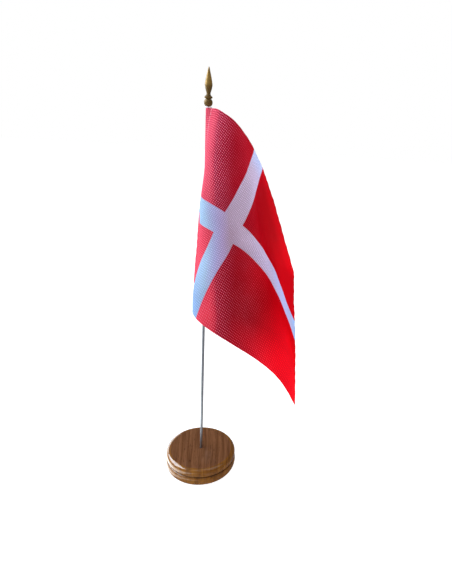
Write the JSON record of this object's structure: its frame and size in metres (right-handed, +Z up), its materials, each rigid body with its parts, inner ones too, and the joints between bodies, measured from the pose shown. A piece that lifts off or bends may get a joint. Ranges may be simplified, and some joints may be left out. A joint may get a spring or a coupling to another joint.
{
  "type": "desk flag stand",
  "caption": "Small table flag: a draped cloth flag whose sleeve slides and turns on a thin steel rod, with a spear-tip finial above and a round turned wooden base below.",
  "frame": {"origin": "centre of the base's foot, on the desk", "axes": "+Z up along the rod; the flag hangs off towards -Y (the front) and +X"},
  "size_m": [0.1075, 0.2142, 0.3928],
  "materials": {
    "wood": "stained brown, clear gloss lacquer",
    "felt": "green felt",
    "steel": "bright drawn steel wire",
    "finial_gold": "gold-coloured moulding, satin",
    "washer_white": "natural white nylon",
    "cloth": "knitted polyester, printed red with a white cross",
    "thread": "polyester sewing thread"
  },
  "bodies": {
    "base": {"wooden_base": "wood", "felt_pad": "felt"},
    "rod": {"steel_rod": "steel"},
    "finial": {"finial": "finial_gold"},
    "flag_carriage": {"washer": "washer_white"},
    "flag": {"flag_cloth": "cloth", "sleeve_stitching": "thread"}
  },
  "joints": [
    {"name": "rod_lift", "type": "slide", "parent": "base", "child": "rod", "axis": [0, 0, 1], "range_m": [0, 0.014]},
    {"name": "finial_pull", "type": "slide", "parent": "rod", "child": "finial", "axis": [0, 0, 1], "range_m": [0, 0.01]},
    {"name": "flag_slide", "type": "slide", "parent": "rod", "child": "flag_carriage", "axis": [0, 0, 1], "range_m": [-0.115, 0]},
    {"name": "flag_swivel", "type": "hinge", "parent": "flag_carriage", "child": "flag", "pos_m": [0, 0, 0.282], "axis": [0, 0, 1], "continuous": true}
  ]
}
